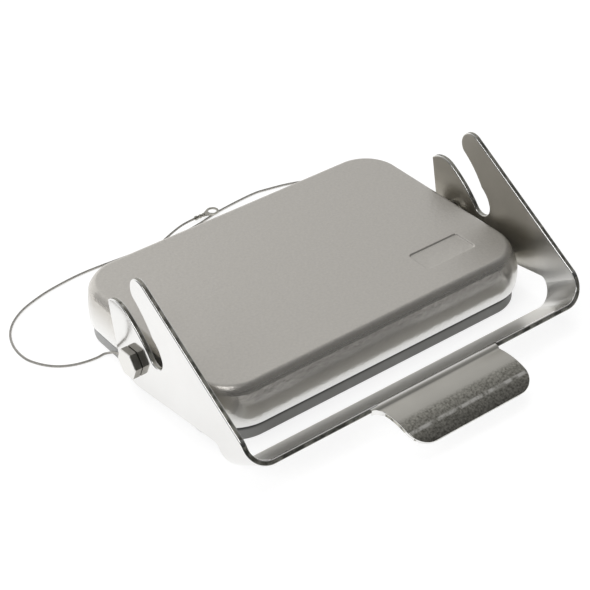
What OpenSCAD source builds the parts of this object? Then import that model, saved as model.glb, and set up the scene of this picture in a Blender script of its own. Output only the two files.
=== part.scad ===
// Protective cover for a heavy-duty rectangular connector: a cast cap with a rim seal, a locking
// lever bent from sheet steel with a forked hook on each arm, two shoulder bolts that carry the
// lever, and a thin steel rope with an eye at the pivot and a ring terminal at its free end.
// Millimetres. The seal's lower face lies on z = 0 and is centred there, X runs along the cap's
// long side, and the lever's crossbar lies on the -Y side.

/* [Cap] */
// Length of the cap over its end walls
body_l = 132; // [112:1:160]
// Width of the cap over its long walls
body_w = 88.6; // [74:0.2:110]
// Height of the cap above its lower rim
body_h = 14.8; // [14.6:0.1:20]
// Corner radius of the cap seen from above
corner_r = 16.2; // [13:0.1:22]
// Radius of the rounded top edge
edge_r = 2.8; // [1.5:0.1:4]
// Draft of the walls in degrees
draft_a = 7; // [0:0.5:8]
// Thickness of the outer walls
wall = 3.2; // [2.4:0.1:4]
// Thickness of the top
roof = 3; // [2:0.1:4]

/* [Plaque] */
// Length of the bare sunk field on the top
plaque_l = 21.3; // [10:0.1:26]
// Width of the sunk field
plaque_w = 10; // [6:0.1:14]
// Centre of the field along X
plaque_x = 39.8; // [-44:0.1:44]
// Centre of the field along Y
plaque_y = -25; // [-26:0.1:26]
// Depth of the field
plaque_d = 0.5; // [0.2:0.1:1]

/* [Seal] */
// Height of the seal that shows below the rim
seal_h = 5.8; // [5.2:0.1:8]
// Width of the seal's section
seal_w = 6; // [5:0.1:8]
// Step from the cap's outer wall in to the seal
seal_inset = 1.1; // [0.8:0.1:1.6]
// Depth to which the seal sits in the cap
seal_seat = 1.6; // [1:0.1:1.8]
// Side clearance of the seal in its seat
seal_clear = 0.1; // [0.05:0.05:0.3]
// Thickness of the inner rib that backs the seal
rib_w = 2; // [1.2:0.1:3]

/* [Pivots] */
// Place of the lever's pivot along Y
pivot_y = -0.9; // [-4:0.1:4]
// Height of the pivot above the rim
pivot_h = 6.85; // [6.6:0.05:7.4]
// Radius of the pivot bosses
boss_r = 4.4; // [4.2:0.1:4.6]
// Height of the boss face over the end wall
boss_out = 0.5; // [0.3:0.1:0.6]
// Length of the boss behind its face
boss_l = 11; // [9.5:0.1:14]
// Radius of the bolt's shoulder
shoulder_r = 3.5; // [3.2:0.1:4]
// Running clearance of the lever on the shoulder
pivot_fit = 0.06; // [0.03:0.01:0.1]
// Play of the lever along the shoulder
pivot_play = 0.15; // [0.1:0.05:0.3]
// Width across the flats of the hexagon
hex_af = 9.3; // [8.6:0.1:11]
// Height of the hexagon
hex_h = 2.7; // [2:0.1:5]
// Radius of the bolt's threaded end
thread_r = 2.5; // [2:0.1:2.9]
// Length of the threaded end
thread_l = 8.5; // [6:0.1:9]
// Clearance of the threaded end in its hole
thread_clear = 0.05; // [0.03:0.01:0.15]

/* [Lever] */
// Thickness of the sheet
sheet = 1.8; // [1.5:0.1:2.2]
// Gap from the cap's end wall to the arm
arm_gap = 1.5; // [1.4:0.1:2]
// Slope of the arm's front edge
front_a = 31; // [28:0.5:34]
// Straight length of the front edge
front_l = 56.4; // [54:0.1:59]
// Slope of the arm's lower edge
low_a = 7; // [4:0.5:9]
// Radius of the long prong's tip
tip_r = 5; // [4:0.1:5.4]
// Radius of the slot's closed end, which holds the peg
slot_r = 4.1; // [3.6:0.1:4.4]
// Slot end forward of the pivot
slot_fwd = 13.35; // [13.1:0.05:14.6]
// Slot end above the pivot
slot_up = 9.5; // [9.3:0.1:10.5]
// Radius of the arm's heel round the pivot
heel_r = 10.1; // [9:0.1:11]
// Radius of the short prong's top
prong_r = 8.5; // [7.5:0.1:9.5]
// Distance from the pivot forward to the bend
reach = 46.5; // [45:0.1:50]
// Height of the crossbar above the table with the lever down
floor_clear = 0.1; // [0.1:0.1:1]
// Width of the crossbar strip
strip_w = 15.8; // [14:0.1:18]
// Tilt of the strip's inner face from the front
strip_a = 56.4; // [52:0.2:60]
// Inner radius of the two bends
bend_r = 6.7; // [4:0.1:8]

/* [Thumb tab] */
// Width of the tab
tab_l = 49.5; // [36:0.5:64]
// Middle of the tab along X
tab_x = 3.75; // [-8:0.05:8]
// Length of strip taken up by the fold at the tab's root
tab_lead = 1.2; // [0.8:0.1:2]
// Inner radius of the fold
tab_fold_r = 0.5; // [0.2:0.1:1]
// Slope down behind the fold
tab_fold_a = 33; // [20:1:40]
// Radius of the hollow behind the fold
tab_dip_r = 1.6; // [1:0.1:3]
// Slope up at the start of the curl
tab_rise_a = 11; // [5:1:18]
// Radius of the curl's upper face
tab_r = 22.5; // [18:0.1:28]
// Angle through which the tab curls
tab_curl = 47; // [40:1:54]
// Radius of the tab's free corners
tab_corner = 7; // [3:0.5:9]
// Radius at the tab's filleted root
tab_root = 3; // [1:0.5:4]
// Width of the relief cut at its other root
relief_w = 0.5; // [0.3:0.1:1]
// Depth of the relief cut
relief_d = 1; // [0.5:0.1:2]

/* [Cord] */
// Diameter of the steel rope
cord_d = 0.9; // [0.6:0.1:1]
// Thickness of the sheet of the eye and the ring terminal
lug_t = 0.6; // [0.4:0.1:0.7]
// Radius of the crimped barrels
crimp_r = 0.56; // [0.5:0.02:0.58]
// Length of the barrel at the pivot
eye_crimp_l = 4; // [2:0.5:5]
// Rim of the eye round the bolt's shoulder
eye_rim = 1.5; // [1:0.1:2]
// Clearance of the eye on the shoulder
eye_clear = 0.1; // [0.05:0.05:0.3]
// Gap from the boss to the eye
lug_gap = 0.05; // [0.05:0.05:0.2]
// Inner radius of the ring terminal
ring_bore_r = 1.65; // [1.6:0.05:2.6]
// Rim of the ring terminal
ring_rim = 1.2; // [1:0.05:2]
// Length of the ring terminal's barrel
ring_crimp_l = 4; // [2:0.5:4.5]

/* [Hidden] */
$fn = 64;

cast_grey = [0.64, 0.62, 0.59];
rubber_grey = [0.38, 0.38, 0.38];
steel = [0.76, 0.75, 0.73];
bolt_steel = [0.47, 0.46, 0.42];
rope_steel = [0.55, 0.54, 0.52];

lap = 0.5;
over = 1;
inner_edge_r = 1;
plaque_r = 1.2;
hex_turn = 5;
hex_face_r = hex_af * 0.54;
tail_w = 1.8;

rim_z = seal_h;
pivot_z = rim_z + pivot_h;
boss_x = body_l / 2 + boss_out;
arm_in = body_l / 2 + arm_gap;
arm_out = arm_in + sheet;
head_x = arm_out + pivot_play;

// Outline of one arm, about the pivot, [forward is -, up is +]
across = [-sin(strip_a), cos(strip_a)];
drop = pivot_z - floor_clear - (bend_r + sheet) * sin(strip_a);
low_pt = [-reach, -drop];
up_pt = low_pt + strip_w * across;
up_corner = 5;
low_corner = 2;
strip_lap = 0.6;
lap_in = strip_lap / 2 * dir(strip_a);
up_c = up_pt + strip_lap * dir(strip_a) - up_corner * across;
low_c = low_pt + strip_lap * dir(strip_a) - low_corner * across;
front_pt = up_c + up_corner * dir(90 + front_a);
tip_c = front_pt + front_l * dir(front_a) + tip_r * dir(front_a - 90);
slot_c = [-slot_fwd, slot_up];
slot_neck = slot_c + [0.45, 6.9];
prong_c = [7.3, 10.6];
tip_a = -40;
prong_a = [48, 125];
slot_a = [310, 165];
heel_a = -3;

// Thumb tab, about the pivot: fold, hollow and curl, each by its centre and its span of angles
tab_edge = up_pt - bend_r * dir(strip_a);
fold_r = tab_fold_r + sheet;
fold_end = 90 + tab_fold_a;
fold_c = tab_edge - tab_lead * across - fold_r * dir(strip_a);
dip_c = fold_c + (fold_r + tab_dip_r) * dir(fold_end);
curl_start = 90 - tab_rise_a;
curl_end = curl_start + tab_curl;
curl_c = dip_c - (tab_dip_r + tab_r) * dir(curl_start);

// Eye at the left pivot: the barrel slopes down behind the arm
eye_x = -(boss_x + lug_gap + lug_t / 2);
eye_a = -27.5;
eye_r = shoulder_r + eye_clear + eye_rim;
eye_start = 7.7;
eye_end = eye_start + eye_crimp_l;
barrel_x = -(body_l / 2 + arm_gap / 2);
eye_out = [barrel_x, pivot_y + eye_end * cos(eye_a), pivot_z + eye_end * sin(eye_a)];

// Ring terminal, lying over the rope behind the cap
ring_pos = [9.6, 69.2, 1.35];
ring_r = ring_bore_r + ring_rim;
ring_crimp_x = ring_pos[0] - ring_r - over;
ring_in = [ring_crimp_x - ring_crimp_l, ring_pos[1], ring_pos[2]];

// Route of the rope, from the eye to the ring terminal
route = [
    eye_out, [-66.6, 13.2, 5.6], [-66.5, 17, 3.8], [-66.4, 20.4, 1.5], [-67.6, 22, 0.55],
    [-70, 21.8, 0.5], [-74, 22.2, 0.5], [-79, 23.7, 0.5], [-83.5, 26.6, 0.5], [-87, 31, 0.5],
    [-89.2, 36.5, 0.5], [-89.2, 43.5, 0.5], [-87, 50.5, 0.5], [-82.8, 56.2, 0.5],
    [-76.7, 60.6, 0.5], [-69.5, 63.4, 0.5], [-61, 65.4, 0.5], [-48, 66.6, 0.5], [-31, 65.6, 0.5],
    [-14, 64.6, 0.5], [0, 66, 0.5], [12.5, 68.7, 0.5], [28.5, 70.2, 0.5], [36, 69.2, 0.5],
    [44, 67.2, 0.5], [52, 63.6, 0.5], [56, 58.4, 0.5], [53, 53, 0.5], [45, 50.4, 0.5],
    [24, 49.4, 0.5], [4, 49.4, 0.5], [-14, 49.8, 0.5], [-25, 51.2, 0.5], [-30.6, 55, 0.5],
    [-29, 59.6, 0.6], [-22, 62.2, 1], [-15, 64.4, 1.6], [-9, 66.6, 1.8],
    [-4, 68.4, 1.5], ring_in];

function dir(a) = [cos(a), sin(a)];

// Points along an arc
function arc(c, r, a0, a1, n = 8) =
    [for (i = [0:n]) c + r * dir(a0 + (a1 - a0) * i / n)];

// Points between two ends along a shallow bow of height s
function bow(a, b, s, n = 6) =
    let (d = b - a, m = [-d[1], d[0]] / norm(d))
    [for (i = [1:n - 1]) a + d * i / n + m * 4 * s * (i / n) * (1 - i / n)];

// Smooth curve through the route's points, k steps to a stretch
function spline(p, k) =
    let (n = len(p) - 1)
    concat([for (i = [0:n - 1], j = [0:k - 1])
        let (t = j / k, b = p[i], c = p[i + 1],
             a = i > 0 ? p[i - 1] : 2 * b - c,
             d = i < n - 1 ? p[i + 2] : 2 * c - b)
        (2 * b + (c - a) * t + (2 * a - 5 * b + 4 * c - d) * t * t
            + (3 * b - a - 3 * c + d) * t * t * t) / 2], [p[n]]);

// Ring of points round the curve at point i
function hoop(q, i, r, sides) =
    let (n = len(q) - 1,
         w = q[min(i + 1, n)] - q[max(i - 1, 0)],
         z = w / norm(w),
         s = cross(z, abs(z[2]) > 0.9 ? [1, 0, 0] : [0, 0, 1]),
         x = s / norm(s),
         y = cross(x, z))
    [for (k = [0:sides - 1]) q[i] + r * (cos((k + 0.5) * 360 / sides) * x
        + sin((k + 0.5) * 360 / sides) * y)];

// Round tube along a curve
module tube(q, r, sides = 8) {
    n = len(q);
    points = [for (i = [0:n - 1]) each hoop(q, i, r, sides)];
    walls = [for (i = [0:n - 2], k = [0:sides - 1])
        [i * sides + k, i * sides + (k + 1) % sides,
         (i + 1) * sides + (k + 1) % sides, (i + 1) * sides + k]];
    first = [for (k = [0:sides - 1]) sides - 1 - k];
    last = [for (k = [0:sides - 1]) (n - 1) * sides + k];
    polyhedron(points, concat([first], walls, [last]), convexity = 10);
}

// Rectangle with round corners, about its middle
module plate(l, w, r) {
    square([l - 2 * r, w], center = true);
    square([l, w - 2 * r], center = true);
    for (sx = [-1, 1], sy = [-1, 1])
        translate([sx * (l / 2 - r), sy * (w / 2 - r)]) circle(r);
}

// The same rectangle as a flat ring
module frame(l, w, r, t) {
    difference() {
        plate(l, w, r);
        plate(l - 2 * t, w - 2 * t, r - t);
    }
}

// Solid with round corners, drafted walls and a round top edge
module dome(l, w, h, r, f) {
    d = (h - f) * tan(draft_a);
    hull()
        for (sx = [-1, 1], sy = [-1, 1])
            translate([sx * (l / 2 - r), sy * (w / 2 - r), 0])
                rotate_extrude($fn = 48)
                    polygon(concat([[0, 0], [r, 0]], arc([r - d - f, h - f], f, 0, 90, 6), [[0, h]]));
}

// Turns a drawing of [Y, Z] to stand across X
module across_x() {
    rotate([90, 0, 90]) children();
}

// Cast cap: outer dome, hollow below, with the seal's seat, its backing rib and the pivot bosses
module cover_body() {
    in = seal_inset - seal_clear;
    color(cast_grey)
    difference() {
        union() {
            difference() {
                translate([0, 0, rim_z]) dome(body_l, body_w, body_h, corner_r, edge_r);
                translate([0, 0, rim_z - over])
                    dome(body_l - 2 * wall, body_w - 2 * wall, body_h - roof + over,
                         corner_r - wall, inner_edge_r);
            }
            translate([0, 0, rim_z + seal_seat])
                linear_extrude(body_h - roof / 2 - seal_seat) rib_frame();
            for (s = [-1, 1])
                translate([s * (boss_x - boss_l), pivot_y, pivot_z])
                    rotate([0, s * 90, 0]) cylinder(r = boss_r, h = boss_l);
        }
        translate([0, 0, rim_z - over]) linear_extrude(over + seal_seat)
            plate(body_l - 2 * in, body_w - 2 * in, corner_r - in);
        for (s = [-1, 1])
            translate([s * (boss_x - thread_l - lap), pivot_y, pivot_z])
                rotate([0, s * 90, 0])
                    cylinder(r = thread_r + thread_clear, h = thread_l + lap + over);
        translate([plaque_x, plaque_y, rim_z + body_h - plaque_d])
            linear_extrude(plaque_d + over) plate(plaque_l, plaque_w, plaque_r);
    }
}

// Rib along the seal's inner margin
module rib_frame() {
    in = seal_inset + seal_w - rib_w;
    frame(body_l - 2 * in, body_w - 2 * in, corner_r - in, rib_w);
}

// Rubber ring, square in section, seated against the cap's step and rib
module seal() {
    color(rubber_grey)
    linear_extrude(rim_z + seal_seat)
        frame(body_l - 2 * seal_inset, body_w - 2 * seal_inset, corner_r - seal_inset, seal_w);
}

// Lever: two forked arms, a crossbar bent round at both ends, and a curled thumb tab
module lever() {
    color(steel)
    translate([0, pivot_y, pivot_z])
    difference() {
        union() {
            for (s = [-1, 1]) translate([s > 0 ? arm_in : -arm_out, 0, 0]) arm();
            crossbar();
            thumb_tab();
        }
        for (s = [-1, 1]) translate([s * (arm_in - over), 0, 0])
            rotate([0, s * 90, 0]) cylinder(r = shoulder_r + pivot_fit, h = sheet + 2 * over);
    }
}

// One arm: long front prong, hooked slot, short rear prong and round heel
module arm() {
    across_x() linear_extrude(sheet)
        polygon(concat(
            arc(tip_c, tip_r, tip_a, 90 + front_a, 14),
            arc(up_c, up_corner, 90 + front_a, 90 + strip_a, 5),
            [up_pt + lap_in, low_pt + lap_in],
            arc(low_c, low_corner, 90 + strip_a, 90 - low_a, 5),
            arc([0, 0], heel_r, -90 - low_a, heel_a, 12),
            arc(prong_c, prong_r, prong_a[0], prong_a[1], 8),
            bow(prong_c + prong_r * dir(prong_a[1]), slot_c + slot_r * dir(slot_a[0]), -0.85),
            arc(slot_c, slot_r, slot_a[0], slot_a[1], 12),
            bow(slot_c + slot_r * dir(slot_a[1]), slot_neck, 0.7, 5),
            [slot_neck],
            bow(slot_neck, tip_c + tip_r * dir(tip_a), 0.75)));
}

// Crossbar with its two bends, drawn as a strip's edge and swept over the strip's width; its upper
// edge is cut back where the tab folds out, with a relief cut beside the tab
module crossbar() {
    h = bend_r + sheet;
    translate([0, low_pt[0], low_pt[1]]) rotate([strip_a, 0, 0])
    difference() {
        linear_extrude(strip_w)
            intersection() {
                difference() {
                    translate([0, h]) plate(2 * arm_out, 4 * h, h);
                    translate([0, h]) plate(2 * arm_in, 4 * h - 2 * sheet, bend_r);
                }
                translate([-arm_out - over, -h - over])
                    square([2 * (arm_out + over), h + over + strip_lap / 2]);
            }
        translate([tab_x - tab_l / 2, -h - over, strip_w - tab_lead])
            cube([tab_l, sheet + 2 * over, tab_lead + over]);
        translate([tab_x + tab_l / 2, -h - over, strip_w - relief_d])
            cube([relief_w, sheet + 2 * over, relief_d + over]);
    }
}

// Thumb tab folded out of the strip, with round free corners and one filleted root
module thumb_tab() {
    wide = tab_l + tab_root;
    intersection() {
        translate([tab_x + tab_l / 2 - wide, 0, 0]) across_x() linear_extrude(wide) tab_section();
        union() {
            translate([tab_x, curl_c[0], curl_c[1]]) rotate([curl_end - 90, 0, 0])
                translate([-tab_l / 2, 0, -tab_r]) linear_extrude(3 * tab_r) tab_blank();
            translate([tab_x - tab_l / 2, tab_edge[0] - sheet * cos(strip_a), tab_edge[1]])
                tab_fillet();
        }
    }
}

// Section of the tab: fold, hollow and curl, from the strip's cut edge
module tab_section() {
    polygon(concat(
        arc(fold_c, fold_r, strip_a, fold_end, 8),
        arc(dip_c, -tab_dip_r, fold_end, curl_start, 6),
        arc(curl_c, tab_r, curl_start, curl_end, 12),
        arc(curl_c, tab_r - sheet, curl_end, curl_start, 12),
        arc(dip_c, -tab_dip_r - sheet, curl_start, fold_end, 6),
        arc(fold_c, tab_fold_r, fold_end, strip_a, 8)));
}

// Outline of the tab's free end, seen square to it
module tab_blank() {
    translate([tab_corner, 0]) square([tab_l - 2 * tab_corner, 3 * tab_r]);
    translate([0, tab_corner]) square([tab_l, 3 * tab_r - tab_corner]);
    for (x = [tab_corner, tab_l - tab_corner]) translate([x, tab_corner]) circle(tab_corner);
}

// Fillet where the tab's side meets the strip, seen from above
module tab_fillet() {
    translate([0, 0, -tab_r]) linear_extrude(2 * tab_r)
        difference() {
            translate([-tab_root, -tab_root]) square([tab_root + over, 2 * tab_root]);
            translate([-tab_root, -tab_root]) circle(tab_root);
        }
}

// Shoulder bolt: hexagon head, shoulder for the lever and threaded end
module pivot_bolt(s) {
    color(bolt_steel)
    translate([0, pivot_y, pivot_z]) rotate([0, s * 90, 0]) {
        translate([0, 0, boss_x - thread_l]) cylinder(r = thread_r, h = thread_l + lap);
        translate([0, 0, boss_x]) cylinder(r = shoulder_r, h = head_x - boss_x + lap);
        intersection() {
            translate([0, 0, head_x]) rotate(90 - s * hex_turn)
                cylinder(r = hex_af / sqrt(3), h = hex_h, $fn = 6);
            translate([0, 0, head_x - over])
                cylinder(r1 = hex_face_r + hex_h + over, r2 = hex_face_r, h = hex_h + over);
        }
    }
}

module bolt_left() {
    pivot_bolt(-1);
}

module bolt_right() {
    pivot_bolt(1);
}

// Flat eye on the left shoulder, with a barrel crimped on the rope
module cord_eye() {
    color(steel)
    translate([eye_x, pivot_y, pivot_z]) rotate([eye_a, 0, 0]) {
        difference() {
            union() {
                rotate([0, 90, 0]) cylinder(r = eye_r, h = lug_t, center = true);
                translate([-lug_t / 2, 0, -tail_w / 2]) cube([lug_t, eye_start + lap, tail_w]);
            }
            rotate([0, 90, 0])
                cylinder(r = shoulder_r + eye_clear, h = lug_t + 2 * over, center = true);
        }
        translate([barrel_x - eye_x, eye_start, 0]) rotate([-90, 0, 0])
            cylinder(r = crimp_r, h = eye_crimp_l);
    }
}

// Thin steel rope
module cord() {
    color(rope_steel) tube(spline(route, 2), cord_d / 2);
}

// Flat ring terminal with a barrel crimped on the rope
module ring_terminal() {
    color(steel)
    translate(ring_pos) {
        difference() {
            union() {
                cylinder(r = ring_r, h = lug_t, center = true);
                translate([-ring_r - over - lap, -tail_w / 2, -lug_t / 2])
                    cube([ring_r, tail_w, lug_t]);
            }
            cylinder(r = ring_bore_r, h = lug_t + 2 * over, center = true);
        }
        translate([-ring_r - over, 0, 0]) rotate([0, -90, 0])
            cylinder(r = crimp_r, h = ring_crimp_l);
    }
}

cover_body();
seal();
lever();
bolt_left();
bolt_right();
cord_eye();
cord();
ring_terminal();
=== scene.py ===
import math

import bmesh
import bpy
from mathutils import Matrix, Vector
from mathutils.bvhtree import BVHTree


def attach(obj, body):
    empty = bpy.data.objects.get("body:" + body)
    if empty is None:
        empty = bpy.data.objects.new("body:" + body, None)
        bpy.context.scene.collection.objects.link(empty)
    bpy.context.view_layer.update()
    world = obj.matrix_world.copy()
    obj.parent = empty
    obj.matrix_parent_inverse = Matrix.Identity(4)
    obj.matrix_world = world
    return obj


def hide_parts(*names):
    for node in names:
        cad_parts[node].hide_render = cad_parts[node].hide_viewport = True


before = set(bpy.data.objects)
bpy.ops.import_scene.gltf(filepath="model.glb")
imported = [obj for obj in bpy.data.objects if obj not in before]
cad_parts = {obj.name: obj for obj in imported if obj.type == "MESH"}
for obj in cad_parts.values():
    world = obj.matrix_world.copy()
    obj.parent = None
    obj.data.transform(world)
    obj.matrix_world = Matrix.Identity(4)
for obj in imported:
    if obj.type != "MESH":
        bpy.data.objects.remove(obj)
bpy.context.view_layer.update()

scene = bpy.context.scene
scene.view_settings.view_transform = "Standard"
MM = 0.001


# Camera. It looks down on the cover from the front left, at the angle and distance that the
# cap's straight edges give in the photograph.
eye_point = Vector((-274.74, -368.43, 341.61)) * MM
look_azimuth, look_elevation, look_roll = (math.radians(a) for a in (-36.324, 36.131, -1.678))
photo_px, focal_px = 590, 1664.612
sensor_width = 36
look_back = Vector((
    math.sin(look_azimuth) * math.cos(look_elevation),
    -math.cos(look_azimuth) * math.cos(look_elevation),
    math.sin(look_elevation),
))
level_right = Vector((math.cos(look_azimuth), math.sin(look_azimuth), 0))
look_right = Matrix.Rotation(look_roll, 3, look_back) @ level_right
look_up = look_back.cross(look_right)

camera_data = bpy.data.cameras.new("camera")
camera_data.sensor_width = sensor_width
camera_data.lens = focal_px / photo_px * sensor_width
camera_data.shift_x, camera_data.shift_y = -0.00085, 0.00085
camera_data.clip_start, camera_data.clip_end = 0.01, 20
camera = bpy.data.objects.new("camera", camera_data)
camera.matrix_world = Matrix.Translation(eye_point) @ Matrix(
    (look_right, look_up, look_back)
).transposed().to_4x4()
scene.collection.objects.link(camera)
scene.camera = camera


# Rope. Thin steel rope of six strands laid round a core, from the eye behind the left arm, out in
# a loop on the table and behind the cap, and back over itself to the ring terminal. It is limp
# enough to lie flat under its own weight.
rope_radius, rope_lay = 0.45 * MM, 5.4 * MM
rope_strands, strand_points = 6, 5
rope_step, route_steps = 0.42 * MM, 12
wire_slant = 0.11
rope_dark, rope_light = (0.40, 0.385, 0.355, 1), (0.66, 0.64, 0.60, 1)
rope_route = [
    (-66.75, 9.478, 7.248), (-66.6, 13.2, 5.6), (-66.5, 17, 3.8), (-66.4, 20.4, 1.5),
    (-67.6, 22, 0.55), (-70, 21.8, 0.5), (-74, 22.2, 0.5), (-79, 23.7, 0.5),
    (-83.5, 26.6, 0.5), (-87, 31, 0.5), (-89.2, 36.5, 0.5), (-89.2, 43.5, 0.5),
    (-87, 50.5, 0.5), (-82.8, 56.2, 0.5), (-76.7, 60.6, 0.5), (-69.5, 63.4, 0.5),
    (-61, 65.4, 0.5), (-48, 66.6, 0.5), (-31, 65.6, 0.5), (-14, 64.6, 0.5), (0, 66, 0.5),
    (12.5, 68.7, 0.5), (28.5, 70.2, 0.5), (36, 69.2, 0.5), (44, 67.2, 0.5), (52, 63.6, 0.5),
    (56, 58.4, 0.5), (53, 53, 0.5), (45, 50.4, 0.5), (24, 49.4, 0.5), (4, 49.4, 0.5),
    (-14, 49.8, 0.5), (-25, 51.2, 0.5), (-30.6, 55, 0.5), (-29, 59.6, 0.6), (-22, 62.2, 1),
    (-15, 64.4, 1.6), (-9, 66.6, 1.8), (-4, 68.4, 1.5), (1.75, 69.2, 1.35),
]


def smooth_line(points, steps):
    """Points of a smooth curve through the route's points."""
    line = []
    last = len(points) - 1
    for i in range(last):
        b, c = points[i], points[i + 1]
        a = points[i - 1] if i > 0 else 2 * b - c
        d = points[i + 2] if i < last - 1 else 2 * c - b
        for j in range(steps):
            t = j / steps
            line.append((2 * b + (c - a) * t + (2 * a - 5 * b + 4 * c - d) * t * t
                         + (3 * b - a - 3 * c + d) * t * t * t) / 2)
    return line + [points[-1]]


def even_line(line, step):
    """The same curve with its points a step apart, and its length."""
    lengths = [0.0]
    for a, b in zip(line, line[1:]):
        lengths.append(lengths[-1] + (b - a).length)
    count = round(lengths[-1] / step)
    even, i = [], 0
    for k in range(count + 1):
        s = lengths[-1] * k / count
        while i < len(line) - 2 and lengths[i + 1] < s:
            i += 1
        share = (s - lengths[i]) / (lengths[i + 1] - lengths[i])
        even.append(line[i].lerp(line[i + 1], share))
    return even, lengths[-1]


def carried_frames(line):
    """Two directions square to the curve at each point, carried along it without twist."""
    ways = [(b - a).normalized() for a, b in zip(line, line[1:])]
    ways.append(ways[-1])
    side = ways[0].cross(Vector((0, 0, 1))).normalized()
    frames = []
    for i, way in enumerate(ways):
        if i:
            side = ways[i - 1].rotation_difference(way) @ side
        side = (side - side.dot(way) * way).normalized()
        frames.append((side, way.cross(side)))
    return frames


def add_rope(mesh, uv, line, frames, turn):
    """Six round strands that touch one another, laid in a twist round the line."""
    count = rope_strands * strand_points
    strand = rope_radius / 3
    sector = 2 * math.pi / rope_strands
    rows = []
    for i, (point, (x, y)) in enumerate(zip(line, frames)):
        row = []
        for k in range(count):
            around = 2 * math.pi * k / count
            off = (around + sector / 2) % sector - sector / 2
            out = 2 * strand * math.cos(off) + math.sqrt(
                max(0, strand ** 2 - (2 * strand * math.sin(off)) ** 2))
            a = around + turn * i
            row.append(mesh.verts.new(point + out * (math.cos(a) * x + math.sin(a) * y)))
        rows.append(row)
    for i, (row, onward) in enumerate(zip(rows, rows[1:])):
        for k in range(count):
            face = mesh.faces.new((row[k], row[(k + 1) % count],
                                   onward[(k + 1) % count], onward[k]))
            face.smooth = True
            for loop, (du, dv) in zip(face.loops, ((0, 0), (1, 0), (1, 1), (0, 1))):
                loop[uv].uv = ((k + du) / strand_points - (i + dv) * wire_slant, i + dv)
    mesh.faces.new(list(reversed(rows[0])))
    mesh.faces.new(rows[-1])


def finished_object(name, mesh, *materials):
    """A mesh made in code as an object of the scene."""
    data = bpy.data.meshes.new(name)
    bmesh.ops.recalc_face_normals(mesh, faces=mesh.faces)
    mesh.to_mesh(data)
    mesh.free()
    for material in materials:
        data.materials.append(material)
    made = bpy.data.objects.new(name, data)
    scene.collection.objects.link(made)
    return made


def node_maker(tree):
    """A function that adds one node, sets its properties and links or sets its inputs."""
    def add(kind, inputs=None, **properties):
        node = tree.nodes.new(kind)
        for key, value in properties.items():
            setattr(node, key, value)
        wire(node, inputs or {})
        return node

    def wire(node, inputs):
        for key, value in inputs.items():
            if isinstance(value, bpy.types.NodeSocket):
                tree.links.new(value, node.inputs[key])
            else:
                node.inputs[key].default_value = value

    add.wire = wire
    return add


def new_material(name):
    """A material with its Principled shader and a function that adds and links nodes."""
    material = bpy.data.materials.new(name)
    material.use_nodes = True
    tree = material.node_tree
    return material, tree.nodes["Principled BSDF"], node_maker(tree)


def blended(add, factor, one, other):
    """A colour between two, by a factor from 0 to 1."""
    mix = add("ShaderNodeMix", {"Factor": factor, "A": one, "B": other}, data_type="RGBA")
    return mix.outputs["Result"]


def ranged(add, value, start, end, low=0.0, high=1.0, curve="LINEAR"):
    """A value carried over from one range to another, and held at its ends."""
    return add("ShaderNodeMapRange", {
        "Value": value, "From Min": start, "From Max": end, "To Min": low, "To Max": high,
    }, interpolation_type=curve).outputs["Result"]


def surface(add, shader, colour, roughness, height, strength, distance, metallic=1.0):
    """Colour, gloss and relief of a material."""
    relief = add("ShaderNodeBump", {
        "Height": height, "Strength": strength, "Distance": distance})
    add.wire(shader, {
        "Base Color": colour, "Metallic": metallic, "Roughness": roughness,
        "Normal": relief.outputs["Normal"],
    })


rope_line, rope_length = even_line(
    smooth_line([Vector(p) * MM for p in rope_route], route_steps), rope_step)
rope_turn = 2 * math.pi * rope_length / (len(rope_line) - 1) / rope_lay
rope_mesh = bmesh.new()
rope_uv = rope_mesh.loops.layers.uv.new("wires")
add_rope(rope_mesh, rope_uv, rope_line, carried_frames(rope_line), rope_turn)

rope_steel, shader, add = new_material("rope_steel")
wires = add("ShaderNodeTexWave", {
    "Vector": add("ShaderNodeUVMap", uv_map="wires").outputs["UV"],
    "Scale": 2.2, "Distortion": 0.0,
}, wave_type="BANDS", bands_direction="X").outputs["Fac"]
grime = add("ShaderNodeTexNoise", {
    "Vector": add("ShaderNodeTexCoord").outputs["Object"], "Scale": 900.0, "Detail": 3.0,
}).outputs["Fac"]
surface(add, shader, blended(add, grime, rope_dark, rope_light),
        ranged(add, grime, 0, 1, 0.28, 0.46), wires, strength=0.5, distance=0.02 * MM)
rope = finished_object("rope", rope_mesh, rope_steel)
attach(rope, "base")
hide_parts("cord")


# Ring terminal. Flat ring stamped from tinned sheet, with a neck that tapers into a barrel round
# the rope's end, crimped in two places. It lies on the rope behind the cap.
sharp_angle, flat_area = math.radians(28), 300 * MM * MM
stamped_edge = 0.08 * MM
tin_dark, tin_light = (0.36, 0.35, 0.31, 1), (0.54, 0.525, 0.475, 1)
broad_share = 0.06
ring_place = Vector((9.6, 69.2, 1.35)) * MM
ring_r, ring_bore_r, ring_t = 2.42 * MM, 1.65 * MM, 0.6 * MM
ring_steps, ring_span, neck_turns = 40, 118, (159, 201)
neck_w, neck_lap = 1.3 * MM, 0.4 * MM
barrel_from, barrel_l, barrel_r, barrel_steps = 3.4 * MM, 4.45 * MM, 0.56 * MM, 24
barrel_profile = (
    (0, 1), (0.06, 1.35), (0.2, 1.4), (0.26, 1.05), (0.34, 1.05), (0.4, 1.4), (0.56, 1.4),
    (0.62, 1.05), (0.7, 1.05), (0.77, 1.45), (0.96, 1.55), (1, 1.35))


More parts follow.
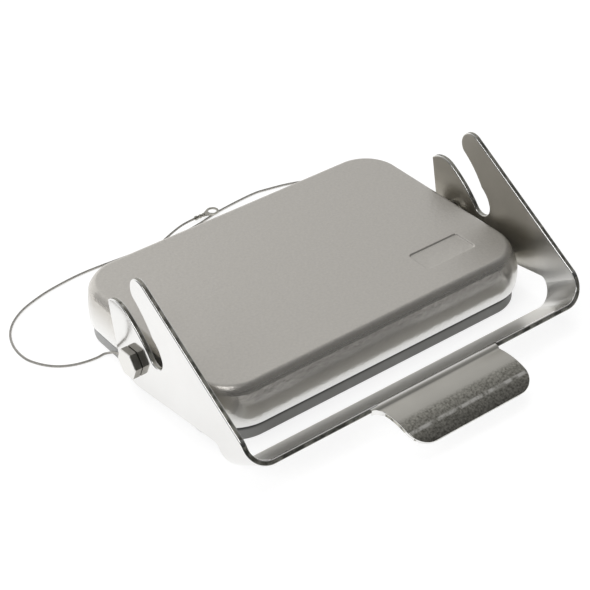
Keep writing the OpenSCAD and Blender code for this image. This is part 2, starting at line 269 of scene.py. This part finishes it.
def edged_mesh(mesh, name, edge_width, *materials, keep=()):
    """A piece from a mesh with its sharp outer edges broken, except in the boxes to keep."""
    bmesh.ops.recalc_face_normals(mesh, faces=mesh.faces)
    broken = []
    for edge in mesh.edges:
        if len(edge.link_faces) != 2 or edge.calc_face_angle(0) < sharp_angle:
            continue
        spot = (edge.verts[0].co + edge.verts[1].co) / 2
        kept = any(low[0] < spot.x < high[0] and low[1] < spot.y < high[1] for low, high in keep)
        edge.smooth = edge.is_convex and not kept
        if edge.smooth:
            broken.append(edge)
    bmesh.ops.bevel(mesh, geom=broken, offset=edge_width, offset_type="OFFSET", segments=2,
                    profile=0.5, affect="EDGES", clamp_overlap=False, loop_slide=True)
    for face in mesh.faces:
        face.smooth = face.calc_area() < flat_area
    piece = finished_object(name, mesh, *materials)
    weighted = piece.modifiers.new("even_shading", "WEIGHTED_NORMAL")
    weighted.keep_sharp = True
    weighted.weight = 80
    return piece


def join_loops(mesh, loops, smooth=True):
    """Quads between loops of the same count, one after another."""
    for a, b in zip(loops, loops[1:]):
        n = len(a)
        for k in range(n):
            face = mesh.faces.new((a[k], a[(k + 1) % n], b[(k + 1) % n], b[k]))
            face.smooth = smooth


def turned(mesh, profile, centre, way, steps=64):
    """A solid turned about an axis, from points of distance along it and radius."""
    x = way.orthogonal().normalized()
    y = way.cross(x)
    turns = [2 * math.pi * k / steps for k in range(steps)]
    rows = []
    for along, r in profile:
        rows.append([mesh.verts.new(centre + along * way + r * (math.cos(a) * x + math.sin(a) * y))
                     for a in turns])
    join_loops(mesh, rows)
    mesh.faces.new(rows[0])
    mesh.faces.new(list(reversed(rows[-1])))


def reckoned(add, operation, a, b=0.0):
    """The result of one operation on a value or two."""
    return add("ShaderNodeMath", {0: a, 1: b}, operation=operation).outputs["Value"]


def grain_group():
    """Grain of a chosen size, as a fine value and a broad one from 0 to 1."""
    group = bpy.data.node_groups.new("fine_grain", "ShaderNodeTree")
    group.interface.new_socket("Size", in_out="INPUT", socket_type="NodeSocketFloat")
    group.interface.new_socket("Spread", in_out="INPUT", socket_type="NodeSocketVector")
    group.interface.new_socket("Fine", in_out="OUTPUT", socket_type="NodeSocketFloat")
    group.interface.new_socket("Broad", in_out="OUTPUT", socket_type="NodeSocketFloat")
    place = node_maker(group)
    entry = place("NodeGroupInput")
    where = place("ShaderNodeVectorMath", {
        0: place("ShaderNodeTexCoord").outputs["Object"], 1: entry.outputs["Spread"],
    }, operation="MULTIPLY").outputs["Vector"]
    scale = reckoned(place, "DIVIDE", 1.0, entry.outputs["Size"])
    fine = place("ShaderNodeTexNoise", {
        "Vector": where, "Scale": scale, "Detail": 4.0, "Roughness": 0.55})
    broad = place("ShaderNodeTexNoise", {
        "Vector": where, "Scale": reckoned(place, "MULTIPLY", scale, broad_share), "Detail": 3.0})
    place("NodeGroupOutput", {"Fine": fine.outputs["Fac"], "Broad": broad.outputs["Fac"]})
    return group


fine_grain = grain_group()


def add_grain(add, size, spread=(1, 1, 1)):
    """The grain group placed in a material, as its two outputs."""
    return add("ShaderNodeGroup", {"Size": size, "Spread": spread}, node_tree=fine_grain).outputs


tinned, shader, add = new_material("tinned_lug")
grain = add_grain(add, 0.6 * MM)
surface(add, shader, blended(add, grain["Broad"], tin_dark, tin_light),
        ranged(add, grain["Fine"], 0, 1, 0.22, 0.4),
        grain["Fine"], strength=0.25, distance=0.03 * MM)

ring_mesh = bmesh.new()
turned(ring_mesh, [(barrel_l * along, barrel_r * wide) for along, wide in barrel_profile],
       ring_place - Vector((barrel_from, 0, 0)), Vector((-1, 0, 0)), barrel_steps)
ring_turns = [ring_span * (2 * k / ring_steps - 1) for k in range(ring_steps + 1)]
ways = [Vector((math.cos(a), math.sin(a), 0))
        for a in map(math.radians, [*ring_turns, *neck_turns])]
plan = [ring_r * way for way in ways[:len(ring_turns)]]
plan += [Vector((-barrel_from - neck_lap, side * neck_w / 2, 0)) for side in (1, -1)]
bore = [ring_bore_r * way for way in ways]
lifts = [Vector((0, 0, side * ring_t / 2)) for side in (-1, 1)]
rims = [[ring_mesh.verts.new(ring_place + spot + lift) for spot in line]
        for line in (plan, bore) for lift in lifts]
join_loops(ring_mesh, [rims[0], rims[1], rims[3], rims[2], rims[0]], smooth=False)
ring = edged_mesh(ring_mesh, "ring_lug", stamped_edge, tinned)
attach(ring, "base")
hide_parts("ring_terminal")


# Cap. Die-cast aluminium shell with a warm grey metallic coat, matt on top and smoother on its
# wall, which is dressed to a slight waist. The wall's colour is painted lighter towards the rim,
# as painted light standing in for the bright table's reflection. Below it has a seat for the seal,
# a rib behind it and a boss at each end for the bolts. The sunk field on top is bare.
cap_l, cap_w, cap_h = 132 * MM, 88.6 * MM, 14.8 * MM
cap_rim, cap_corner = 5.8 * MM, 16.2 * MM
cap_round, inner_round = 2.8 * MM, 1 * MM
cap_draft = math.tan(math.radians(7))
cap_wall, cap_roof = 3.2 * MM, 3 * MM
cap_top = cap_rim + cap_h
wall_top, ceiling = cap_top - cap_round, cap_top - cap_roof
seat_in, seat_z = 1.0 * MM, 7.4 * MM
rib_in, rib_t, rib_top = 5.1 * MM, 2 * MM, ceiling + 1 * MM
corner_steps, round_steps = 24, 10
waist_up, waist_round = 6 * MM, 3.6 * MM
left_out, right_out, side_out = 0.04 * MM, 0.6 * MM, 0.75 * MM
wall_lean, left_lean = cap_draft * (wall_top - cap_rim), 0.6 * MM
wall_ups = (0.8, 1.6, 2.4, 3.2, 3.9, 4.5, 5.1, 5.7, 6.3, 6.9, 7.5, 8.3, 9.3, 10.3, 11.2, 11.85)
round_start, round_hold = math.tan(math.radians(27)), 0.03
top_in = 0.3 * MM
field_l, field_w, field_corner, field_steps = 21.3 * MM, 10 * MM, 1.2 * MM, 8
field_place = Vector((39.8, -25, 0)) * MM
field_profile = ((-0.7, 0), (-0.35, 0), (-0.2, 0.03), (-0.08, 0.1),
                 (0, 0.2), (0.08, 0.38), (0.17, 0.47), (0.32, 0.5))
edge_break = 0.3 * MM
edge_mid = 0.3 * edge_break
pivot = Vector((0, -0.9, 12.65)) * MM
boss_r, boss_l, boss_x = 4.4 * MM, 11 * MM, 66.5 * MM
coat_dark, coat_light = (0.53, 0.509, 0.472, 1), (0.66, 0.633, 0.588, 1)
# Painted light: the lower wall's colour, lighter towards the rim, for the bright table's
# reflection.
painted_rim_light, rim_light_fade = (0.88, 0.875, 0.86, 1), 1 * MM


def round_loop(mesh, l, w, r, z, centre=Vector((0, 0, 0)), steps=corner_steps):
    """Vertices round a rectangle with round corners."""
    loop = []
    for sx, sy, start in ((1, 1, 0), (-1, 1, 90), (-1, -1, 180), (1, -1, 270)):
        for k in range(steps + 1):
            a = math.radians(start + 90 * k / steps)
            loop.append(mesh.verts.new(centre + Vector((
                sx * (l / 2 - r) + r * math.cos(a), sy * (w / 2 - r) + r * math.sin(a), z))))
    return loop


def loop_edges(mesh, loop):
    """The edges round a loop, made where they are missing."""
    found = []
    for a, b in zip(loop, loop[1:] + loop[:1]):
        found.append(mesh.edges.get((a, b)) or mesh.edges.new((a, b)))
    return found


def cap_row(mesh, inset, z, side=None, left=None):
    """One row of the cap's shell, set in from its outline; long sides and left end may differ."""
    side = inset if side is None else side
    left = inset if left is None else left
    return round_loop(mesh, cap_l - inset - left, cap_w - 2 * side, cap_corner - inset, z,
                      Vector(((left - inset) / 2, 0, 0)))


def wall_inset(up, out, lean):
    """Inset of the wall at a height over the rim: it leans out to a round waist, and then in."""
    low, high = -out / waist_up, (lean + out) / (wall_top - cap_rim - waist_up)
    if up < waist_up - waist_round:
        return low * up
    if up > waist_up + waist_round:
        return high * (up - waist_up) - out
    near = ((up - waist_up) / waist_round) ** 2 + 1
    return (low + high) / 2 * (up - waist_up) + (high - low) * waist_round / 4 * near - out


cap_mesh = bmesh.new()
inner_lean = cap_wall + cap_draft * (ceiling - inner_round - cap_rim)
shell = []
for k in range(round_steps + 1):
    a = math.pi / 2 * (1 - k / round_steps)
    shell.append((inner_lean + inner_round * (1 - math.cos(a)),
                  ceiling - inner_round + inner_round * math.sin(a)))
shell += [(cap_wall + cap_draft * (seat_z - cap_rim), seat_z), (seat_in, seat_z),
          (seat_in, cap_rim + edge_break), (seat_in - edge_break, cap_rim), (edge_break, cap_rim),
          (edge_mid, cap_rim + edge_mid), (0, cap_rim + edge_break)]
for up in (mm * MM for mm in wall_ups):
    shell.append((wall_inset(up, right_out, wall_lean), cap_rim + up,
                  wall_inset(up, side_out, wall_lean), wall_inset(up, left_out, left_lean)))
top_rows = []
for share in [0, round_hold] + [k / round_steps for k in range(1, round_steps + 1)]:
    rest = 1 - share
    top_rows.append((cap_round * (2 * share * rest * round_start + share * share),
                     wall_top + cap_round * (1 - rest * rest)))
top_rows.append((cap_round + top_in, cap_top))
shell += [(wall_lean + over, z, wall_lean + over, left_lean + over) for over, z in top_rows]
shell_rows = [cap_row(cap_mesh, *row) for row in shell]
join_loops(cap_mesh, shell_rows)
cap_mesh.faces.new(shell_rows[0])
field_rows = [
    round_loop(cap_mesh, field_l - 2 * inset, field_w - 2 * inset, field_corner - inset,
               cap_top - depth, field_place, field_steps)
    for inset, depth in ((i * MM, d * MM) for i, d in field_profile)]
join_loops(cap_mesh, field_rows)
bmesh.ops.triangle_fill(
    cap_mesh, use_beauty=True,
    edges=loop_edges(cap_mesh, shell_rows[-1]) + loop_edges(cap_mesh, field_rows[0]))
cap_mesh.faces.new(field_rows[-1])
rib_rows = [cap_row(cap_mesh, inset, z) for inset, z in (
    (rib_in, rib_top), (rib_in, seat_z), (rib_in + rib_t, seat_z), (rib_in + rib_t, rib_top))]
join_loops(cap_mesh, rib_rows + rib_rows[:1])
for side in (-1, 1):
    turned(cap_mesh, [(0, boss_r), (boss_l - edge_break, boss_r), (boss_l, boss_r - edge_break)],
           pivot + Vector((side * (boss_x - boss_l), 0, 0)), Vector((side, 0, 0)))


def object_spot(add):
    """The X, Y and Z of the spot that is shaded, in the part's frame."""
    return add("ShaderNodeSeparateXYZ", {
        0: add("ShaderNodeTexCoord").outputs["Object"]}).outputs


powder_coat, shader, add = new_material("powder_coat")
peel, speckle = add_grain(add, 1.6 * MM), add_grain(add, 0.9 * MM)
height = object_spot(add)["Z"]
coat = blended(add, speckle["Fine"], coat_dark, coat_light)
# Painted light: the colour lightens from the top of the wall down to the rim.
rim_light_share = ranged(add, height, wall_top - rim_light_fade, cap_rim + rim_light_fade)
surface(add, shader, blended(add, rim_light_share, coat, painted_rim_light),
        ranged(add, height, wall_top, cap_top, 0.22, 0.36),
        peel["Fine"], strength=0.8, distance=0.13 * MM, metallic=0.75)
cap = finished_object("cap", cap_mesh, powder_coat)
cap.data.set_sharp_from_angle(angle=math.radians(35))
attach(cap, "base")
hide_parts("cover_body")


# Seal. Ring moulded from grey rubber, square in section with slightly round edges, pushed up into
# the cap's seat so that most of its height stands out below the rim. Close under the rim it is
# darkened with painted shade.
seal_in, seal_t, seal_top = 1.1 * MM, 6 * MM, 7.4 * MM
seal_round, seal_steps = 0.35 * MM, 4
rubber_dark, rubber_light = (0.36, 0.36, 0.354, 1), (0.46, 0.46, 0.453, 1)
# Painted shade: a dark band on the seal close under the rim.
rim_shade_colour, rim_shade_from, rim_shade_to = (0.06, 0.06, 0.058, 1), 3.6 * MM, 4.6 * MM

seal_mesh = bmesh.new()
seal_near, seal_far = seal_in + seal_round, seal_in + seal_t - seal_round
seal_low, seal_high = seal_round, seal_top - seal_round
seal_profile = []
for corner_in, corner_z, start in (
        (seal_near, seal_low, 180), (seal_far, seal_low, 270),
        (seal_far, seal_high, 0), (seal_near, seal_high, 90)):
    for k in range(seal_steps + 1):
        a = math.radians(start + 90 * k / seal_steps)
        seal_profile.append((corner_in + seal_round * math.cos(a),
                             corner_z + seal_round * math.sin(a)))
seal_rows = [cap_row(seal_mesh, inset, z) for inset, z in seal_profile]
join_loops(seal_mesh, seal_rows + seal_rows[:1])

moulded_rubber, shader, add = new_material("moulded_rubber")
grain = add_grain(add, 0.7 * MM)
# Painted shade under the rim, darkening the seal's top.
rim_shade = ranged(add, object_spot(add)["Z"], rim_shade_from, rim_shade_to)
rubber = blended(add, grain["Broad"], rubber_dark, rubber_light)
surface(add, shader, blended(add, rim_shade, rubber, rim_shade_colour),
        ranged(add, grain["Fine"], 0, 1, 0.6, 0.82),
        grain["Fine"], strength=0.4, distance=0.04 * MM, metallic=0.0)
seal = finished_object("seal_ring", seal_mesh, moulded_rubber)
seal.data.set_sharp_from_angle(angle=math.radians(50))
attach(seal, "base")
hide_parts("seal")


# Rope eye. Flat tinned eye on the left bolt's shoulder, between the boss and the arm, with a
# barrel crimped on the rope.
weld_gap, flat_angle = 0.002 * MM, math.radians(0.3)


def edged_solid(node, name, edge_width, *materials, keep=()):
    """A piece with the solid's shape, without faces inside it, and its sharp edges broken."""
    mesh = bmesh.new()
    mesh.from_mesh(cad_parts[node].data)
    bmesh.ops.remove_doubles(mesh, verts=mesh.verts, dist=weld_gap)
    for _ in range(2):
        bmesh.ops.dissolve_limit(mesh, angle_limit=flat_angle, verts=mesh.verts, edges=mesh.edges)
        seams = [f for f in mesh.faces if all(len(e.link_faces) != 2 for e in f.edges)]
        bmesh.ops.delete(mesh, geom=seams, context="FACES")
    return edged_mesh(mesh, name, edge_width, *materials, keep=keep)


eye = edged_solid("cord_eye", "rope_eye", stamped_edge, tinned)
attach(eye, "base")
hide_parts("cord_eye")


# Shoulder bolts. Turned steel, with a hexagon for the spanner that keeps the arm on and a smooth
# shoulder that the arm turns on; the threaded end sits in the cap's boss. The lathe leaves fine
# rings round the axis, and the head's end is faced bright.
head_end, face_from, face_to = 72 * MM, 0.2 * MM, 0.1 * MM
bolt_edge = 0.15 * MM
lathe_rate, lathe_share = 26000.0, 0.12
bolt_dark, bolt_light = (0.27, 0.258, 0.232, 1), (0.40, 0.386, 0.352, 1)
faced_bright = (0.84, 0.83, 0.8, 1)

turned_steel, shader, add = new_material("turned_steel")
grain = add_grain(add, 0.5 * MM)
spot = add("ShaderNodeSeparateXYZ", {
    0: add("ShaderNodeVectorMath", {
        0: add("ShaderNodeTexCoord").outputs["Object"], 1: tuple(pivot),
    }, operation="SUBTRACT").outputs["Vector"],
}).outputs
across = add("ShaderNodeCombineXYZ", {"Y": spot["Y"], "Z": spot["Z"]}).outputs["Vector"]
radius = add("ShaderNodeVectorMath", {0: across}, operation="LENGTH").outputs["Value"]
rings = reckoned(add, "SINE", reckoned(add, "MULTIPLY", radius, lathe_rate))
marks = reckoned(add, "ADD", reckoned(add, "MULTIPLY", rings, lathe_share), grain["Fine"])
faced = ranged(add, reckoned(add, "ABSOLUTE", spot["X"]), head_end - face_from, head_end - face_to)
satin = blended(add, grain["Broad"], bolt_dark, bolt_light)
surface(add, shader, blended(add, faced, satin, faced_bright),
        ranged(add, grain["Fine"], 0, 1, 0.28, 0.46), marks, strength=0.3, distance=0.03 * MM)
for side in ("left", "right"):
    bolt = edged_solid("bolt_" + side, "pivot_bolt_" + side, bolt_edge, turned_steel)
    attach(bolt, "base")
    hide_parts("bolt_" + side)


# Lever. One blank of stainless sheet: two arms with a forked hook slot, bent round into the
# crossbar, and a thumb tab folded out and curled. Its outer side is polished, its inner side has
# the satin of the rolled sheet with marks from the bending, and its cut edges are dark and rough.
# On the inner side a painted highlight runs along the fold's crest, and the tab's curl has
# painted shade with a painted highlight streak near its edge.
sheet_t, edge_width = 1.8 * MM, 0.38 * MM
side_slack, narrow_share = 0.3 * MM, 0.9
ray_start = 0.01 * MM
above_cap = Vector((0, -20, 120)) * MM
tab_roots = (((-24.3 * MM, -67.3 * MM), (-20.8 * MM, -63 * MM)),
             ((28.2 * MM, -66 * MM), (29.3 * MM, -63 * MM)))
crest_y, crest_fade = -64.1 * MM, (0.9 * MM, 0.6 * MM)
streak_y, streak_fade = -79.5 * MM, (0.8 * MM, 0.3 * MM)
curl_from, curl_to = -73.2 * MM, -75.8 * MM
scuff_y, scuff_x, scuff_rub = (-36 * MM, -47 * MM), (58 * MM, 62 * MM), 0.3
polish_dark, polish_light = (0.78, 0.775, 0.76, 1), (0.86, 0.855, 0.84, 1)
rolled_dark, rolled_light = (0.56, 0.542, 0.496, 1), (0.70, 0.68, 0.625, 1)
# Painted shade: the tab's curl is darker, for the dark front it reflects, and mottled.
curl_shade_dark, curl_shade_light = (0.23, 0.222, 0.194, 1), (0.54, 0.524, 0.468, 1)
sheared_dark, sheared_light = (0.2, 0.195, 0.17, 1), (0.6, 0.585, 0.52, 1)
scuff_bright, nick_bright = (0.86, 0.85, 0.82, 1), (0.78, 0.77, 0.74, 1)
# Painted highlights: a bright line on the fold's crest and a streak near the tab's edge.
painted_crest_highlight, painted_streak_highlight = (0.92, 0.91, 0.88, 1), (0.95, 0.93, 0.88, 1)

polished_sheet, shader, add = new_material("polished_sheet")
grain = add_grain(add, 0.9 * MM, (0.35, 1, 1))
surface(add, shader, blended(add, grain["Broad"], polish_dark, polish_light),
        ranged(add, grain["Fine"], 0, 1, 0.04, 0.14),
        grain["Fine"], strength=0.12, distance=0.03 * MM)


def off_line(add, value, middle):
    """How far a value lies from a middle, on either side."""
    return reckoned(add, "ABSOLUTE", reckoned(add, "SUBTRACT", value, middle))


satin_sheet, shader, add = new_material("satin_sheet")
grain = add_grain(add, 0.7 * MM)
spot = object_spot(add)
rolled = blended(add, grain["Broad"], rolled_dark, rolled_light)
scuff = reckoned(add, "MULTIPLY", ranged(add, spot["Y"], *scuff_y),
                 ranged(add, reckoned(add, "ABSOLUTE", spot["X"]), *scuff_x))
bent = blended(add, scuff, rolled, scuff_bright)
# Painted highlight: a bright line along the fold's crest.
crest_highlight = ranged(add, off_line(add, spot["Y"], crest_y), *crest_fade)
crest_highlighted = blended(add, crest_highlight, bent, painted_crest_highlight)
# Painted shade on the tab's curl, mottled, and a painted highlight streak near its edge.
pressed = ranged(add, add_grain(add, 0.8 * MM)["Fine"], 0.35, 0.65)
shaded_mottle = blended(add, pressed, curl_shade_dark, curl_shade_light)
streak_highlight = reckoned(add, "MULTIPLY", ranged(add, off_line(add, spot["Y"], streak_y), *streak_fade),
                  ranged(add, add_grain(add, 2.6 * MM)["Fine"], 0.36, 0.56))
curl_shade_and_streak = blended(add, streak_highlight, shaded_mottle, painted_streak_highlight)
curl = ranged(add, spot["Y"], curl_from, curl_to, curve="SMOOTHSTEP")
rub = reckoned(add, "ADD", reckoned(add, "MULTIPLY", scuff, scuff_rub), grain["Fine"])
gloss = ranged(add, rub, 0, 1 + scuff_rub, 0.25, 0.39)
surface(add, shader, blended(add, curl, crest_highlighted, curl_shade_and_streak), ranged(add, crest_highlight, 0, 1, gloss, 0.07),
        grain["Fine"], strength=0.2, distance=0.01 * MM)

cut_edge, shader, add = new_material("cut_edge")
grain = add_grain(add, 0.5 * MM)
nicks = ranged(add, add_grain(add, 2.4 * MM)["Fine"], 0.68, 0.72)
torn = ranged(add, add_grain(add, 3 * MM)["Fine"], 0.4, 0.6)
sheared = blended(add, torn, sheared_dark, sheared_light)
surface(add, shader, blended(add, nicks, sheared, nick_bright),
        ranged(add, grain["Fine"], 0, 1, 0.35, 0.6),
        grain["Fine"], strength=0.5, distance=0.05 * MM)

lever = edged_solid("lever", "lever_sheet", edge_width, polished_sheet, satin_sheet, cut_edge,
                    keep=tab_roots)
lever_tree = BVHTree.FromPolygons([v.co for v in lever.data.vertices],
                                  [p.vertices for p in lever.data.polygons])
widest = {}
lever.data.calc_loop_triangles()
for triangle in lever.data.loop_triangles:
    if triangle.area > widest.get(triangle.polygon_index, (0,))[0]:
        spots = [lever.data.vertices[v].co for v in triangle.vertices]
        widest[triangle.polygon_index] = (triangle.area, sum(spots, Vector()) / 3)
# A face with one sheet's thickness behind it is a side of the sheet, polished or satin. Of the
# others, the narrow ones are broken edges, polished too, and the rest are cut edges.
for face in lever.data.polygons:
    spot = widest[face.index][1] if face.index in widest else face.center
    depth = lever_tree.ray_cast(spot - face.normal * ray_start, -face.normal)[3]
    corners = [lever.data.vertices[v].co for v in face.vertices]
    round_it = sum((b - a).length for a, b in zip(corners, corners[1:] + corners[:1]))
    if depth is not None and abs(depth - sheet_t) < side_slack:
        face.material_index = 1 if face.normal.dot(above_cap - spot) > 0 else 0
    else:
        face.material_index = 0 if 2 * face.area < narrow_share * edge_width * round_it else 2
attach(lever, "lever_body")
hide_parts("lever")


# Floor and light. Plain pale table, see-through from below, and soft panels on the left, overhead
# and in front; the backdrop is white to the camera, and the metal mirrors a small lamp and a
# studio that gets darker towards the camera.
floor_z, floor_half = -0.05 * MM, 3
table_pale, table_faint, white_light = (0.9, 0.9, 0.9, 1), (0.3, 0.3, 0.3, 1), (1, 1, 1, 1)
table_glow, glow_from, glow_to = 0.8, -0.16, -0.08
studio_dark, studio_light, backdrop_light = 0.05, 0.6, 0.45
floor_mesh = bmesh.new()
bmesh.ops.create_grid(floor_mesh, x_segments=1, y_segments=1, size=floor_half)
for v in floor_mesh.verts:
    v.co.z = floor_z
pale_table = bpy.data.materials.new("pale_table")
pale_table.use_nodes = True
pale_table.node_tree.nodes.clear()
add = node_maker(pale_table.node_tree)
path = add("ShaderNodeLightPath").outputs
near = ranged(add, object_spot(add)["Y"], glow_from, glow_to, studio_dark, table_glow)
to_camera = reckoned(add, "MULTIPLY", path["Is Camera Ray"], table_glow)
level = reckoned(add, "MAXIMUM", to_camera, near)
glow = add("ShaderNodeEmission", {"Color": white_light, "Strength": level})
faint = add("ShaderNodeBsdfDiffuse", {"Color": table_faint})
seen = add("ShaderNodeAddShader", {0: faint.outputs["BSDF"], 1: glow.outputs["Emission"]})
pale = add("ShaderNodeBsdfDiffuse", {"Color": table_pale})
mirrored = reckoned(add, "MAXIMUM", path["Is Glossy Ray"], path["Is Transmission Ray"])
shown = reckoned(add, "MAXIMUM", path["Is Camera Ray"], mirrored)
lit = add("ShaderNodeMixShader", {0: shown, 1: pale.outputs["BSDF"], 2: seen.outputs["Shader"]})
from_below = add("ShaderNodeMixShader", {
    0: add("ShaderNodeNewGeometry").outputs["Backfacing"], 1: lit.outputs["Shader"],
    2: add("ShaderNodeBsdfTransparent").outputs["BSDF"]})
add("ShaderNodeOutputMaterial", {"Surface": from_below.outputs["Shader"]})
floor = finished_object("table", floor_mesh, pale_table)

world = bpy.data.worlds.new("studio")
scene.world = world
world.use_nodes = True
world.node_tree.nodes.clear()
add = node_maker(world.node_tree)
heading = add("ShaderNodeSeparateXYZ", {
    0: add("ShaderNodeTexCoord").outputs["Generated"]}).outputs
level = ranged(add, heading["Y"], -0.8, 0.8, studio_dark, studio_light, "SMOOTHSTEP")
backdrop = ranged(add, heading["Y"], 0.72, 0.86, 0, backdrop_light, "SMOOTHSTEP")
left_side = ranged(add, heading["X"], -0.7, -0.35, 0.4, 1, "SMOOTHSTEP")
sky = reckoned(add, "MULTIPLY", reckoned(add, "ADD", level, backdrop), left_side)
soft = add("ShaderNodeBackground", {"Color": white_light, "Strength": sky})
white = add("ShaderNodeBackground", {"Color": white_light, "Strength": 1.0})
world_mix = add("ShaderNodeMixShader", {
    0: add("ShaderNodeLightPath").outputs["Is Camera Ray"],
    1: soft.outputs["Background"], 2: white.outputs["Background"]})
add("ShaderNodeOutputWorld", {"Surface": world_mix.outputs["Shader"]})


def soft_panel(name, place, target, size, power, mirrored=False):
    """A soft light panel that faces the object; mirrors show it only if asked."""
    light = bpy.data.lights.new(name, "AREA")
    light.shape = "RECTANGLE"
    light.size, light.size_y = size
    light.energy = power
    panel = bpy.data.objects.new(name, light)
    panel.location = place
    panel.rotation_mode = "QUATERNION"
    panel.rotation_quaternion = (Vector(target) - Vector(place)).to_track_quat("-Z", "Y")
    panel.visible_glossy = mirrored
    scene.collection.objects.link(panel)


cap_middle = (0, 0, 0.01)
soft_panel("left_panel", (-0.75, 0.1, 0.35), cap_middle, size=(0.7, 0.5), power=3)
soft_panel("top_panel", (0.1, 0.3, 0.9), (0, 0, 0), size=(0.8, 0.8), power=4)
soft_panel("front_panel", (0.3, -0.8, 0.2), cap_middle, size=(0.8, 0.3), power=1)
soft_panel("corner_lamp", (-0.45, -0.3, 0.72), cap_middle, size=(0.45, 0.3), power=1.2,
           mirrored=True)
